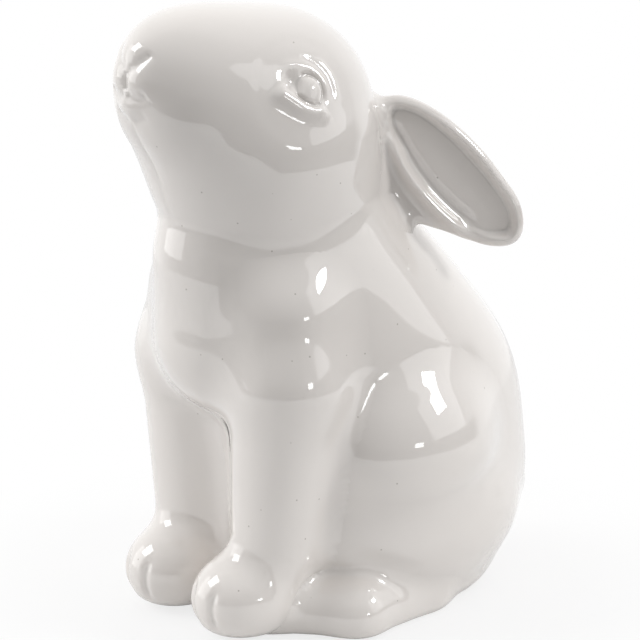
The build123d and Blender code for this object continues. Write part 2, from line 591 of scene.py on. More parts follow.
@dataclass(frozen=True)
class Rays:
    """Rays on a grid of rows and columns that leave a core inside a form and cover all directions.

    The first and last rows are poles, where all columns share one ray. A ray is followed in strides, each a
    share of the distance still to go, and then in corrections by the rate at which that distance falls.
    """

    origins: Array
    directions: Array
    strides: int = 22
    stride: float = 0.8
    corrections: int = 7
    longest_correction: float = 1.0
    least_rate: float = 0.1

    @classmethod
    def from_core(
        cls, start: Array, end: Array, side: Array, rows: Array, columns: Array, caps: Point2
    ) -> "Rays":
        """Rays square to a straight core, with a fan of rays round each of its ends.

        A row's share of the whole length picks a turn within the first fan, a place along the core, or a turn
        within the second fan. A column's share picks the turn about the core.

        Args:
            start: Core's first end.
            end: Core's other end.
            side: Direction of the first column, square to the core.
            rows: Shares of the length, from nought to one.
            columns: Shares of a full turn, from nought up to but not including one.
            caps: Radii of the form round the two ends, which share out the rows.

        Returns:
            The grid of rays.
        """
        axis, length = unit(end - start), np.linalg.norm(end - start)
        first, last = (math.pi / 2 * radius for radius in caps)
        place = rows * (first + length + last)
        tilt = np.clip(place / first - 1, -1, 0) + np.clip((place - first - length) / last, 0, 1)
        tilt = tilt[:, None, None] * math.pi / 2
        turn = columns[None, :, None] * 2 * math.pi
        spoke = np.cos(turn) * side + np.sin(turn) * np.cross(axis, side)
        directions = np.cos(tilt) * spoke + np.sin(tilt) * axis
        origins = start + np.clip(place - first, 0, length)[:, None, None] * axis
        return cls(np.broadcast_to(origins, directions.shape), directions)

    def at(self, travel: Array) -> Array:
        """Points this far along the rays."""
        return self.origins + travel[..., None] * self.directions

    def out_to(self, distance: Field) -> Array:
        """Points where the rays leave a form.

        Args:
            distance: Distance from the form's surface.

        Returns:
            The points, on the grid of the rays.
        """
        travel = np.zeros(self.directions.shape[:2])
        for _ in range(self.strides):
            left = distance(self.at(travel))
            before, was_left, travel = travel, left, travel - self.stride * left
        for _ in range(self.corrections):
            left = distance(self.at(travel))
            rate = (left - was_left) / np.where(travel == before, 1.0, travel - before)
            falls = rate > self.least_rate
            step = np.where(falls, left / np.maximum(rate, self.least_rate), self.stride * left)
            step = np.clip(step, -self.longest_correction, self.longest_correction)
            before, was_left, travel = travel, left, travel - step
        return self.at(travel)


def slope_of(values: Field, points: Array, span: float) -> Array:
    """Gradient by central differences over twice the span, along the last axis."""
    steps = np.eye(3) * span
    return np.stack([values(points + step) - values(points - step) for step in steps], -1) / (2 * span)


def bend_of(values: Field, points: Array, span: float) -> Array:
    """Sum of the second differences along the three axes: positive on ridges, negative in creases."""
    steps = np.vstack([np.eye(3), -np.eye(3)]) * span
    return (sum(values(points + step) for step in steps) - 6 * values(points)) / span**2


@dataclass
class Surface:
    """A closed surface with a normal and a share of hollowness at each point of its grid."""

    points: Array
    normals: Array
    hollow: Array

    @staticmethod
    def loop(grid: Array) -> Array:
        """The grid's rows one after another, with each pole row cut down to a single point."""
        inner = grid[1:-1].reshape(-1, *grid.shape[2:])
        return np.concatenate([grid[:1, 0], inner, grid[-1:, 0]])

    @staticmethod
    def faces(rows: int, columns: int) -> list[list[int]]:
        """Four-sided faces between neighbouring rows and columns, and a fan of triangles at each pole.

        Args:
            rows: Rows of the grid, with its two poles.
            columns: Columns of the grid.

        Returns:
            The corners of each face, with the four-sided ones first.
        """
        ring = 1 + np.arange((rows - 2) * columns).reshape(rows - 2, columns)
        turned = np.roll(ring, -1, axis=1)
        quads = np.stack([ring[:-1], turned[:-1], turned[1:], ring[1:]], -1).reshape(-1, 4)
        last = 1 + ring.size
        first_fan = np.stack([np.zeros_like(ring[0]), turned[0], ring[0]], -1)
        last_fan = np.stack([np.full_like(ring[0], last), ring[-1], turned[-1]], -1)
        return quads.tolist() + first_fan.tolist() + last_fan.tolist()

    def mesh(self, name: str, side: Side) -> bpy.types.Object:
        """Make the surface a mesh object at the origin, mirrored for the right side.

        Args:
            name: Name of the object and its mesh.
            side: Left as modelled, or right as its mirror image.

        Returns:
            The object, with smooth normals and an attribute named hollow.
        """
        rows, columns = self.points.shape[:2]
        mirror = np.array([side.value, 1.0, 1.0])
        points, normals = self.loop(self.points) * mirror * MM, self.loop(self.normals) * mirror
        faces = self.faces(rows, columns)
        quads = np.array(faces[: (rows - 3) * columns])
        corners = points[quads]
        facing = np.cross(corners[:, 2] - corners[:, 0], corners[:, 3] - corners[:, 1])
        if (facing * normals[quads[:, 0]]).sum() < 0:
            faces = [face[::-1] for face in faces]
        mesh = bpy.data.meshes.new(name)
        mesh.from_pydata(points.tolist(), [], faces)
        # The hollow attribute carries the mask by which the glaze paints shade
        mesh.attributes.new("hollow", "FLOAT", "POINT").data.foreach_set("value", self.loop(self.hollow))
        mesh.polygons.foreach_set("use_smooth", np.ones(len(faces), bool))
        mesh.normals_split_custom_set_from_vertices(normals.tolist())
        obj = bpy.data.objects.new(name, mesh)
        bpy.context.scene.collection.objects.link(obj)
        return obj


# Glaze


class Wire:
    """A socket of a node tree, whose sums add Math nodes."""

    def __init__(self, bench: "Bench", socket: bpy.types.NodeSocket) -> None:
        """Hold a socket and the bench that its node stands on."""
        self.bench = bench
        self.socket = socket

    def _math(self, operation: str, *values: "Wire | float") -> "Wire":
        """A Math node with these values on its sockets, in order."""
        inputs = dict(enumerate(values))
        return self.bench.node("ShaderNodeMath", {"operation": operation}, inputs)["Value"]

    def __add__(self, other: "Wire | float") -> "Wire":
        """Sum."""
        return self._math("ADD", self, other)

    __radd__ = __add__

    def __sub__(self, other: "Wire | float") -> "Wire":
        """Difference."""
        return self._math("SUBTRACT", self, other)

    def __rsub__(self, other: "Wire | float") -> "Wire":
        """Difference from a number."""
        return self._math("SUBTRACT", other, self)

    def __mul__(self, other: "Wire | float") -> "Wire":
        """Product."""
        return self._math("MULTIPLY", self, other)

    __rmul__ = __mul__

    def between(self, start: float, end: float) -> "Wire":
        """Smooth share of the way from the start to the end, held between nought and one."""
        inputs = {"Value": self, "From Min": start, "From Max": end}
        return self.bench.node("ShaderNodeMapRange", {"interpolation_type": "SMOOTHSTEP"}, inputs)["Result"]


class Bench:
    """The node tree of one material or world, on which nodes are set out."""

    def __init__(self, tree: bpy.types.NodeTree) -> None:
        """Clear the tree for new nodes."""
        self.tree = tree
        self.tree.nodes.clear()

    def node(self, kind: str, settings: dict | None = None, inputs: dict | None = None) -> dict[str, Wire]:
        """Add a node, with its settings first and then its sockets.

        Args:
            kind: Blender's name for the node type.
            settings: Properties of the node.
            inputs: Values or wires for its input sockets, by name or number.

        Returns:
            The node's output sockets that are in use, by name.
        """
        made = self.tree.nodes.new(kind)
        for name, value in (settings or {}).items():
            setattr(made, name, value)
        for name, value in (inputs or {}).items():
            if isinstance(value, Wire):
                self.tree.links.new(value.socket, made.inputs[name])
            else:
                made.inputs[name].default_value = value
        return {socket.name: Wire(self, socket) for socket in made.outputs if socket.enabled}

    def blend(self, share: Wire, first: "Wire | Colour", second: "Wire | Colour") -> Wire:
        """Colour that goes from the first to the second with a share.

        Args:
            share: Share of the second colour.
            first: Colour where the share is nought.
            second: Colour where it is one.

        Returns:
            The blended colour, from the colour sockets of a Mix node, its inputs 6 and 7.
        """
        first, second = (value if isinstance(value, Wire) else (*value, 1.0) for value in (first, second))
        return self.node("ShaderNodeMix", {"data_type": "RGBA"}, {0: share, 6: first, 7: second})["Result"]

    def mix(self, share: Wire, first: Wire, second: Wire) -> Wire:
        """Shader that goes from the first to the second with a share."""
        return self.node("ShaderNodeMixShader", {}, {0: share, 1: first, 2: second})["Shader"]


@dataclass(frozen=True)
class Glaze:
    """Clear gloss glaze over white earthenware.

    Its colour is painted darker and greyer in the hollows, as painted shade. It has a faint ripple and a few
    pinholes, and stops just above the ground, where the bare clay shows. Lengths are millimetres.
    """

    slot: str = "white_glaze"
    name: str = "glazed_earthenware"
    colour: Colour = (0.812, 0.772, 0.738)
    # Painted shade: the darker, greyer tone that the hollows, and a random cloud, turn the glaze colour
    # towards
    shade_and_cloud_tone: Colour = (0.67, 0.64, 0.61)
    pinhole: Colour = (0.55, 0.51, 0.47)
    clay: Colour = (0.72, 0.68, 0.62)
    # Weight of the hollow share in the painted shade
    painted_shade_strength: float = 0.75
    cloud_pooling: float = 0.35
    cloud_length: float = 22.0
    cloud_detail: float = 2.0
    gloss_roughness: float = 0.05
    cloud_roughness: float = 0.03
    clay_roughness: float = 0.75
    coat_roughness: float = 0.02
    refraction: float = 1.52
    pinhole_spacing: float = 4.5
    pinhole_radius: float = 0.13
    pinhole_border: float = 1.6
    pinhole_depth: float = 1.5
    ripple_length: float = 7.0
    ripple_detail: float = 1.0
    ripple_height: float = 0.012
    glaze_line: float = 0.35
    clay_line: float = 0.21

    @staticmethod
    def noise(bench: Bench, place: Wire, length: float, detail: float) -> Wire:
        """Smooth noise about this many millimetres from crest to crest."""
        inputs = {"Vector": place, "Scale": 1 / (length * MM), "Detail": detail}
        return bench.node("ShaderNodeTexNoise", {}, inputs)["Fac"]

    def pits(self, bench: Bench, place: Wire) -> Wire:
        """Share of pinhole at each place: one within a radius of scattered points, and nought past a border.

        Args:
            bench: The material's node tree.
            place: Object coordinates.

        Returns:
            The share.
        """
        inputs = {"Vector": place, "Scale": 1 / (self.pinhole_spacing * MM)}
        apart = bench.node("ShaderNodeTexVoronoi", {}, inputs)["Distance"]
        radius = self.pinhole_radius / self.pinhole_spacing
        return apart.between(self.pinhole_border * radius, radius)

    def material(self) -> bpy.types.Material:
        """The glaze as a material, made once and then found by its name.

        Returns:
            The material, which reads Object coordinates and the attribute named hollow.
        """
        if self.name in bpy.data.materials:
            return bpy.data.materials[self.name]
        material = bpy.data.materials.new(self.name)
        material.use_nodes = True
        bench = Bench(material.node_tree)
        place = bench.node("ShaderNodeTexCoord")["Object"]
        hollow = bench.node("ShaderNodeAttribute", {"attribute_name": "hollow"})["Fac"]
        height = bench.node("ShaderNodeSeparateXYZ", {}, {0: place})["Z"]
        cloud = self.noise(bench, place, self.cloud_length, self.cloud_detail) - 0.5
        pit = self.pits(bench, place)
        bare = height.between(self.glaze_line * MM, self.clay_line * MM)
        # Painted shade: the colour darkens and greys with the hollow share of the surface, plus a random
        # cloud of tone
        shade_and_cloud = hollow * self.painted_shade_strength + cloud * self.cloud_pooling
        colour = bench.blend(shade_and_cloud.between(0.0, 1.0), self.colour, self.shade_and_cloud_tone)
        colour = bench.blend(bare, bench.blend(pit, colour, self.pinhole), self.clay)
        rough = self.gloss_roughness + cloud * self.cloud_roughness
        rough = rough + bare * (self.clay_roughness - self.gloss_roughness)
        ripple = self.noise(bench, place, self.ripple_length, self.ripple_detail) - pit * self.pinhole_depth
        bump = bench.node("ShaderNodeBump", {}, {
            "Strength": 1.0, "Distance": self.ripple_height * MM, "Height": ripple})
        shader = bench.node("ShaderNodeBsdfPrincipled", {}, {
            "Base Color": colour, "Roughness": rough, "IOR": self.refraction, "Coat Weight": 1.0 - bare,
            "Coat Roughness": self.coat_roughness, "Normal": bump["Normal"]})
        bench.node("ShaderNodeOutputMaterial", {}, {"Surface": shader["BSDF"]})
        return material


# Castings


@dataclass
class Casting(ABC):
    """One casting of the rabbit: its form, what it is joined to, and the marks on its surface.

    Its places are shares of its solid's box, and its lengths are millimetres. One of a pair is modelled on
    the left and mirrored for the right. The fillet to the carrier ends just proud of it, by the lap, which
    starts and is complete at the two shares of the fillet.
    """

    carrier: Form | None
    finish: Glaze = Glaze()
    piece: str = ""
    paired: bool = True
    fillet: float = 4.0
    lap: float = 0.05
    lap_shares: Point2 = (0.1, 0.5)
    crease_share: float = 0.5
    crease_gain: float = 0.9
    crease_span: float = 0.9
    relief_span: float = 0.35
    slope_span: float = 0.02
    rows: int = 150
    columns: int = 200
    caps: Point2 = (18.0, 18.0)

    @property
    def sides(self) -> tuple[Side, ...]:
        """The sides on which the casting is made."""
        return tuple(Side) if self.paired else (Side.LEFT,)

    def node(self, side: Side) -> str:
        """Name of the solid that the casting is drawn over on a side."""
        return side.node(self.piece) if self.paired else self.piece

    @cached_property
    def box(self) -> Box:
        """Box of the solid, on the left where it is one of a pair."""
        return Box.of(self.node(Side.LEFT))

    @cached_property
    def own(self) -> Form:
        """The casting's own form, made once."""
        return self.form()

    @abstractmethod
    def form(self) -> Form:
        """The casting's own form, without its fillets."""

    @abstractmethod
    def rays(self) -> Rays:
        """Rays from inside the form that find its surface."""

    @cached_property
    def relief(self) -> tuple[Patch, ...]:
        """Patches of relief on the surface."""
        return ()

    def around(self, start: Array, end: Array, side: Array) -> Rays:
        """Evenly spread rays about a core, whose first column goes to the side."""
        return Rays.from_core(start, end, side, crowded(self.rows), turns(self.columns), self.caps)

    def lift(self, points: Array) -> Array:
        """Sum of the relief at points on the surface."""
        return sum((patch.lift(points) for patch in self.relief), np.zeros(points.shape[:-1]))

    def with_carrier(self, distance: Array, points: Array) -> Array:
        """The casting's distance from points, joined with the fillet to its carrier's."""
        carrier = self.carrier
        return distance if carrier is None else merge(distance, carrier.distance(points), self.fillet)

    def joined(self, points: Array) -> Array:
        """Distance to the casting and its carrier together."""
        return self.with_carrier(self.own.distance(points), points)

    def closed(self, points: Array) -> Array:
        """The joined distance, cut off where the fillet ends, just proud of the carrier there.

        Args:
            points: Places, in millimetres.

        Returns:
            Distance of each place from the closed surface.
        """
        distance = self.own.distance(points)
        if self.carrier is None:
            return distance
        start, end = (share * self.fillet for share in self.lap_shares)
        proud = self.lap * fade(distance, start, end)
        return np.maximum(self.with_carrier(distance, points) - proud, distance - self.fillet)

    @cached_property
    def surface(self) -> Surface:
        """The casting's surface, joined to its carrier and raised by its relief.

        The joined surface is where the smooth lesser of the casting's and the carrier's distances is nought,
        as far as the fillet reaches. Its normals are the gradient of that distance, so they agree with the
        carrier's where the fillet runs out. Relief moves each point along its normal, and tilts the normal
        against the slope of the relief.

        Returns:
            The surface on the grid of the casting's rays.
        """
        points = self.rays().out_to(self.closed)
        normals = unit(slope_of(self.joined, points, self.slope_span))
        # The hollow share, from the concave bend of the joined surface and of the relief, is the mask of the
        # glaze's painted shade
        reached = fade(self.own.distance(points), self.fillet, self.crease_share * self.fillet)
        crease = -bend_of(self.joined, points, self.crease_span) * reached
        if self.relief:
            slope = slope_of(self.lift, points, self.slope_span)
            crease += bend_of(self.lift, points, self.relief_span)
            tilted = normals - slope + (slope * normals).sum(-1, keepdims=True) * normals
            points = points + self.lift(points)[..., None] * normals
            normals = unit(tilted)
        points[..., 2] = np.maximum(points[..., 2], 0.0)
        return Surface(points, normals, np.clip(crease * self.crease_gain, 0.0, 1.0))

    def build(self, side: Side) -> bpy.types.Object:
        """Make the casting's mesh on a side, over the solid that it then stands for.

        Args:
            side: The side to build, or left where the casting stands alone.

        Returns:
            The mesh object.
        """
        obj = self.surface.mesh(f"glazed_{self.node(side)}", side)
        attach(obj, "root")
        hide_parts(self.node(side))
        return obj

    def dress(self, obj: bpy.types.Object) -> None:
        """Put the finish on one of the casting's meshes."""
        obj.data.materials.append(self.finish.material())


@dataclass
class Torso(Casting):
    """Hollow body that the other castings are joined to, with a round bib at its breast and a flat floor.

    Its rings are level ellipses, in shares of the solid's height, depth, width and depth.
    """

    piece: str = "torso"
    paired: bool = False
    rows: int = 220
    columns: int = 300
    caps: Point2 = (30.0, 18.0)
    belly: Point3 = (0.5, 0.55, 0.5)
    neck: Point3 = (0.5, 0.33, 1.0)
    heights: tuple[float, ...] = (0.0000, 0.1923, 0.3846, 0.5769, 0.7692, 0.9231, 1.0000, 1.0603)
    centres: tuple[float, ...] = (0.5496, 0.5873, 0.5804, 0.5348, 0.4260, 0.3478, 0.3263, 0.3134)
    half_widths: tuple[float, ...] = (0.4242, 0.4820, 0.4917, 0.4820, 0.4242, 0.3586, 0.3124, 0.2314)
    half_depths: tuple[float, ...] = (0.3355, 0.4104, 0.4181, 0.4181, 0.3936, 0.3355, 0.2865, 0.2078)
    bib_low: Point3 = (0.5000, 0.1998, 0.6987)
    bib_low_radius: float = 15.3
    bib_high: Point3 = (0.5000, 0.1869, 0.8974)
    bib_high_radius: float = 13.5
    bib_fillet: float = 3.0
    foot_rounding: float = 4.0

    def form(self) -> Form:
        """Pile of rings joined to the bib, with the edge of the floor rounded.

        Returns:
            The torso's form.
        """
        width, depth, height = self.box.size
        pile = Pile(
            np.array(self.heights) * height,
            self.box.low[1] + np.array(self.centres) * depth,
            np.array(self.half_widths) * width,
            np.array(self.half_depths) * depth,
        )
        low, high = self.box.at(*self.bib_low), self.box.at(*self.bib_high)
        bib = Limb(low, high, self.bib_low_radius, self.bib_high_radius)
        return Cut(Joined(pile, bib, self.bib_fillet), GROUND, DOWN, self.foot_rounding)

    def rays(self) -> Rays:
        """Rays from a core that leans forward from the belly to the neck."""
        belly, neck = self.box.at(*self.belly), self.box.at(*self.neck)
        return self.around(belly, neck, square_to(unit(neck - belly), LEFT))


@dataclass
class Haunch(Casting):
    """Domed thigh over a lower lobe that runs back to the rump."""

    piece: str = "haunch"
    fillet: float = 5.5
    inner: Point3 = (-0.2, 0.5, 0.45)
    outer: Point3 = (0.35, 0.5, 0.5)
    dome: Point3 = (0.1064, 0.5508, 0.6072)
    dome_half_sizes: Point3 = (12.4, 17.0, 14.5)
    lobe: Point3 = (-0.0723, 0.6856, 0.1394)
    lobe_half_sizes: Point3 = (11.6, 20.0, 12.0)
    lobe_fillet: float = 4.5
    hollow_front: Point3 = (0.5711, 0.0569, 0.0078)
    hollow_front_radius: float = 6.0
    hollow_back: Point3 = (0.7355, 0.4311, -0.0506)
    hollow_back_radius: float = 2.0
    hollow_rounding: float = 1.2
    sole_rounding: float = 4.0

    def form(self) -> Form:
        """The dome joined to the lower lobe, which is hollowed over the toes.

        Returns:
            The haunch's form.
        """
        dome = Ball(self.box.at(*self.dome), np.array(self.dome_half_sizes))
        lobe = Ball(self.box.at(*self.lobe), np.array(self.lobe_half_sizes))
        front, back = self.box.at(*self.hollow_front), self.box.at(*self.hollow_back)
        hollow = Limb(front, back, self.hollow_front_radius, self.hollow_back_radius)
        thigh = Hollowed(Joined(dome, lobe, self.lobe_fillet), hollow, self.hollow_rounding)
        return Cut(thigh, GROUND, DOWN, self.sole_rounding)

    def rays(self) -> Rays:
        """Rays from a level core through the dome."""
        inner, outer = self.box.at(*self.inner), self.box.at(*self.outer)
        return self.around(inner, outer, unit(np.cross(outer - inner, UP)))


@dataclass
class Foreleg(Casting):
    """Straight foreleg with its paw, which has a groove at each side of the middle toe.

    A groove's course is in shares of its offset from the paw's middle, and in heights over that middle.
    """

    piece: str = "foreleg"
    fillet: float = 5.0
    rows: int = 260
    caps: Point2 = (12.0, 9.0)
    blade: Point3 = (0.4547, 0.7097, 1.0183)
    blade_radius: float = 10.2
    blade_fillet: float = 4.0
    shoulder: Point3 = (0.5291, 0.6785, 0.8061)
    shoulder_radius: float = 10.4
    wrist: Point3 = (0.4257, 0.6278, 0.2715)
    wrist_radius: float = 8.0
    paw: Point3 = (0.3720, 0.4094, 0.1273)
    paw_half_sizes: Point3 = (9.0, 10.5, 8.5)
    wrist_fillet: float = 4.0
    sole_rounding: float = 3.0
    groove_offset: float = 2.6
    groove_course: tuple[Point2, ...] = ((1.0, -5.5), (1.1, 0.0), (1.2, 4.5))
    groove_width: float = 0.8
    groove_depth: float = 0.5
    groove_ends: float = 0.3
    groove_patch: Point2 = (9.0, 14.0)

    def form(self) -> Form:
        """Tapered leg below a shoulder blade, joined to a rounded paw that is cut flat below.

        Returns:
            The foreleg's form.
        """
        blade, shoulder, wrist = (self.box.at(*shares) for shares in (self.blade, self.shoulder, self.wrist))
        upper = Limb(blade, shoulder, self.blade_radius, self.shoulder_radius)
        leg = Joined(upper, Limb(shoulder, wrist, self.shoulder_radius, self.wrist_radius), self.blade_fillet)
        paw = Ball(self.box.at(*self.paw), np.array(self.paw_half_sizes))
        return Cut(Joined(leg, paw, self.wrist_fillet), GROUND, DOWN, self.sole_rounding)

    def rays(self) -> Rays:
        """Rays from a core between the shoulder blade and the paw."""
        blade, paw = self.box.at(*self.blade), self.box.at(*self.paw)
        return self.around(blade, paw, square_to(unit(paw - blade), LEFT))

    @cached_property
    def relief(self) -> tuple[Patch, ...]:
        """Two grooves between the toes.

        Returns:
            The patch that faces forward on the paw.
        """
        grooves = tuple(
            Stroke(
                tuple((share * offset, rise) for share, rise in self.groove_course),
                self.groove_width, -self.groove_depth, self.groove_ends,
            )
            for offset in (-self.groove_offset, self.groove_offset)
        )
        return (Patch(self.box.at(*self.paw), LEFT, UP, grooves, *self.groove_patch),)


@dataclass
class HindFoot(Casting):
    """Long foot tucked under the haunch, with a web to the paw in front of it."""

    piece: str = "hind_foot"
    fillet: float = 2.6
    rows: int = 140
    columns: int = 140
    caps: Point2 = (9.0, 10.0)
    toe: Point3 = (0.5305, 0.2196, 0.2267)
    toe_radius: float = 6.4
    heel: Point3 = (0.2255, 0.6534, 0.2204)
    heel_radius: float = 8.0
    web: Point3 = (0.0119, -0.0161, 0.2518)
    web_radius: float = 6.0
    web_fillet: float = 3.0
    sole_rounding: float = 2.0

    def form(self) -> Form:
        """Round-ended foot from toe to heel, joined to the web, with a flat sole.

        Returns:
            The hind foot's form.
        """
        toe, heel, web = (self.box.at(*shares) for shares in (self.toe, self.heel, self.web))
        foot = Limb(toe, heel, self.toe_radius, self.heel_radius)
        webbed = Joined(foot, Limb(web, toe, self.web_radius, self.web_radius), self.web_fillet)
        return Cut(webbed, GROUND, DOWN, self.sole_rounding)

    def rays(self) -> Rays:
        """Rays from a core between toe and heel."""
        toe, heel = self.box.at(*self.toe), self.box.at(*self.heel)
        return self.around(toe, heel, unit(np.cross(heel - toe, UP)))


@dataclass
class Tail(Casting):
    """Small knob at the back."""

    piece: str = "tail"
    paired: bool = False
    rows: int = 80
    columns: int = 100
    caps: Point2 = (8.0, 8.0)
    inner: Point3 = (0.5, -0.7, 0.5)
    outer: Point3 = (0.5, 0.0, 0.5)
    knob: Point3 = (0.5000, -0.2123, 0.5230)
    knob_half_sizes: Point3 = (8.0, 7.55, 8.0)

    def form(self) -> Form:
        """A stretched ball sunk in the rump."""
        return Ball(self.box.at(*self.knob), np.array(self.knob_half_sizes))

    def rays(self) -> Rays:
        """Rays from a short core along the body."""
        return self.around(self.box.at(*self.inner), self.box.at(*self.outer), LEFT)


@dataclass
class Head(Casting):
    """Raised head with its eyes, nose and mouth in relief.

    The neck's rings are level ellipses, in shares of the solid's height, depth, width and depth. Spots give
    where the rays stand closer together: a place, a half width and an extra density. Patches give the reach
    and depth of the relief.
    """

    piece: str = "head"
    paired: bool = False
    fillet: float = 1.8
    rows: int = 300
    columns: int = 320
    caps: Point2 = (19.0, 12.0)
    row_spots: tuple[Point3, ...] = ((0.53, 0.09, 1.2), (0.95, 0.08, 0.8))
    eye_turn: float = 18.6
    eye_spot: Point2 = (0.06, 1.2)
    rise: float = 21.7
    skull_share: Point3 = (0.5000, 0.5368, 0.4357)
    skull_half_sizes: Point3 = (18.5, 20.8, 19.5)
    muzzle_share: Point3 = (0.5000, 0.2293, 0.6827)
    muzzle_half_sizes: Point3 = (11.0, 13.0, 11.5)
    muzzle_fillet: float = 12.0
    neck_heights: tuple[float, ...] = (-0.3633, -0.1066, 0.0988, 0.3556)
    neck_centres: tuple[float, ...] = (0.6019, 0.5854, 0.5672, 0.5368)
    neck_half_widths: tuple[float, ...] = (0.3976, 0.4207, 0.4233, 0.4104)
    neck_half_depths: tuple[float, ...] = (0.3431, 0.3805, 0.3935, 0.3474)
    neck_fillet: float = 8.0
    cheek_share: Point3 = (0.6334, 0.4673, 0.2529)
    cheek_radius: float = 13.8
    chin_share: Point3 = (0.5770, 0.2414, 0.5096)
    chin_radius: float = 9.5
    cheek_fillet: float = 8.0
    eye_bearing: float = -12.0
    eye_elevation: float = 24.5
    eye_reach: float = 20.7
    eye_facing: Point3 = (0.92, -0.07, 0.39)
    eye_front: Point3 = (-0.208, -0.931, 0.303)
    eye_patch: Point2 = (11.0, 8.0)
    nose_patch: Point2 = (13.0, 20.0)

    @cached_property
    def skull(self) -> Array:
        """Middle of the skull."""
        return self.box.at(*self.skull_share)

    @cached_property
    def muzzle(self) -> Array:
        """Middle of the muzzle."""
        return self.box.at(*self.muzzle_share)

    @cached_property
    def axes(self) -> Array:
        """Rows that point left, forward along the head, and up from it."""
        forward = bearing(-90, self.rise)
        return np.array([LEFT, forward, np.cross(LEFT, -forward)])

    def form(self) -> Form:
        """Skull joined smoothly to the muzzle, to the jaw from cheek to chin, and to the neck below.

        Returns:
            The head's form.
        """
        width, depth, height = self.box.size
        skull = Ball(self.skull, np.array(self.skull_half_sizes), self.axes)
        muzzle = Ball(self.muzzle, np.array(self.muzzle_half_sizes), self.axes)
        neck = Pile(
            self.box.low[2] + np.array(self.neck_heights) * height,
            self.box.low[1] + np.array(self.neck_centres) * depth,
            np.array(self.neck_half_widths) * width,
            np.array(self.neck_half_depths) * depth,
        )
        cheek, chin = self.box.at(*self.cheek_share), self.box.at(*self.chin_share)
        jaw = Pair(Limb(cheek, chin, self.cheek_radius, self.chin_radius))
        face = Joined(Joined(skull, muzzle, self.muzzle_fillet), jaw, self.cheek_fillet)
        return Joined(face, neck, self.neck_fillet)

    def rays(self) -> Rays:
        """Rays from a core between skull and muzzle, closer together at the eyes and the nose.

        Returns:
            The grid of rays.
        """
        eye = self.eye_turn / 360
        spots = tuple((place, *self.eye_spot) for place in (eye, 0.5 - eye))
        rows, columns = crowded(self.rows, self.row_spots), crowded(self.columns + 1, spots)[:-1]
        return Rays.from_core(self.skull, self.muzzle, LEFT, rows, columns, self.caps)

    @cached_property
    def relief(self) -> tuple[Patch, ...]:
        """The eyes, and the nose with the mouth."""
        return self.eye(), self.nose()

    def eye(self) -> Patch:
        """Almond eye: a ball between heavy lids, with a hollow in front of it and a fold over it.

        Returns:
            The patch, whose places go forward along the head and up from the eye's middle.
        """
        middle = self.skull + self.eye_reach * bearing(self.eye_bearing, self.eye_elevation)
        facing = unit(np.array(self.eye_facing))
        front = square_to(facing, np.array(self.eye_front))
        socket = Swell((-1.9, -0.3), (3.3, 3.2), -0.6)
        front_corner = Swell((2.4, 0.9), (1.7, 1.9), -0.8)
        eyeball = Dome((-1.4, 0.1), (2.8, 2.8), 1.5)
        upper_lid = Stroke(
            ((5.0, 2.0), (3.2, 3.8), (1.1, 4.4), (-1.6, 4.1), (-4.1, 2.1), (-5.6, -1.2)), 0.9, 0.16)
        upper_crease = Stroke(((1.2, 2.4), (-1.5, 2.9), (-3.8, 1.1), (-4.6, -1.6)), 0.5, -0.4)
        fold = Stroke(((1.4, 6.0), (-1.5, 5.7), (-4.9, 3.5), (-6.9, -1.2)), 0.7, -0.2)
        lower_lid = Stroke(
            ((6.3, -0.7), (5.3, -1.4), (2.4, -2.5), (-0.6, -3.5), (-3.6, -3.2), (-5.3, -1.9)), 1.9, 1.05)
        lower_crease = Stroke(((2.0, -0.9), (0.6, -1.9), (-2.0, -2.6), (-4.2, -1.9)), 0.4, -0.45)
        marks = (socket, front_corner, eyeball, upper_lid, upper_crease, fold, lower_lid, lower_crease)
        return Patch(middle, front, np.cross(front, facing), marks, *self.eye_patch)

    def nose(self) -> Patch:
        """Small pad of a nose over a split lip, with the mouth and chin below it.

        Returns:
            The patch, whose places go left and up from the muzzle's middle.
        """
        pad = Swell((0.0, 1.2), (2.8, 2.2), 0.4)
        nostril = Stroke(((4.6, 2.2), (4.0, 0.95), (2.9, -0.7), (1.4, -2.1), (0.0, -2.9)), 1.0, -0.3, 0.2)
        split = Stroke(((0.0, -2.5), (0.0, -4.2), (0.0, -6.2)), 0.8, -0.35, 0.15)
        lip = Swell((3.2, -4.2), (2.8, 2.4), 0.5)
        mouth = Stroke(((0.0, -6.2), (1.8, -7.0), (3.6, -6.8), (5.2, -5.4)), 0.9, -0.3, 0.2)
        chin = Swell((0.0, -8.8), (2.6, 1.8), 0.6)
        chin_crease = Stroke(((0.0, -10.8), (2.5, -10.5), (4.8, -9.0)), 0.9, -0.2, 0.3)
        marks = (pad, nostril, split, lip, mouth, chin, chin_crease)
        return Patch(self.muzzle, LEFT, self.axes[2], marks, *self.nose_patch)


